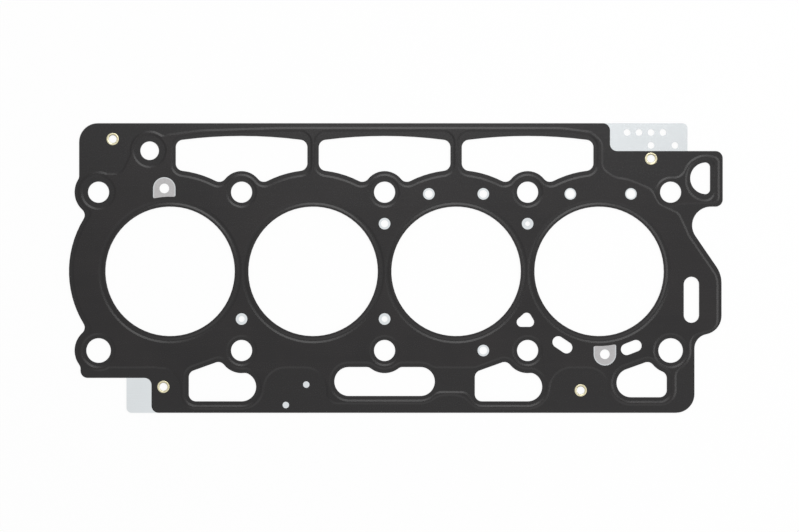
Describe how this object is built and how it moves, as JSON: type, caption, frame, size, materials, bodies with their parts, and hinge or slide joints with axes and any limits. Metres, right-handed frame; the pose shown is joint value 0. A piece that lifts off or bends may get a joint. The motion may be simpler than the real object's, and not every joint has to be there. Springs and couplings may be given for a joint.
{
  "type": "cylinder head gasket",
  "caption": "Flat multi-layer steel head gasket for an inline engine, with beaded black sheets, a bare core with tabs, round bores, side windows and riveted corners.",
  "frame": {"origin": "The middle of the head-bolt pattern, on the face that lies on the engine block (Z = 0).", "axes": "X runs along the row of bores, towards the end with the oil slot. Y points to the side with the three large windows. Z points from the block to the cylinder head."},
  "size_m": [0.384, 0.1701, 0.0017],
  "materials": {
    "coated_sheet": "satin",
    "bare_core": "satin",
    "stopper_steel": "satin",
    "rivet_metal": "polished"
  },
  "bodies": {
    "root": {"upper_bead_layer": "coated_sheet", "core_layer": "bare_core", "lower_bead_layer": "coated_sheet", "bore_stopper_ring_1": "stopper_steel", "bore_stopper_ring_2": "stopper_steel", "bore_stopper_ring_3": "stopper_steel", "bore_stopper_ring_4": "stopper_steel", "eyelet_rivet_1": "rivet_metal", "eyelet_rivet_2": "rivet_metal", "eyelet_rivet_3": "rivet_metal", "eyelet_rivet_4": "rivet_metal"}
  },
  "joints": []
}
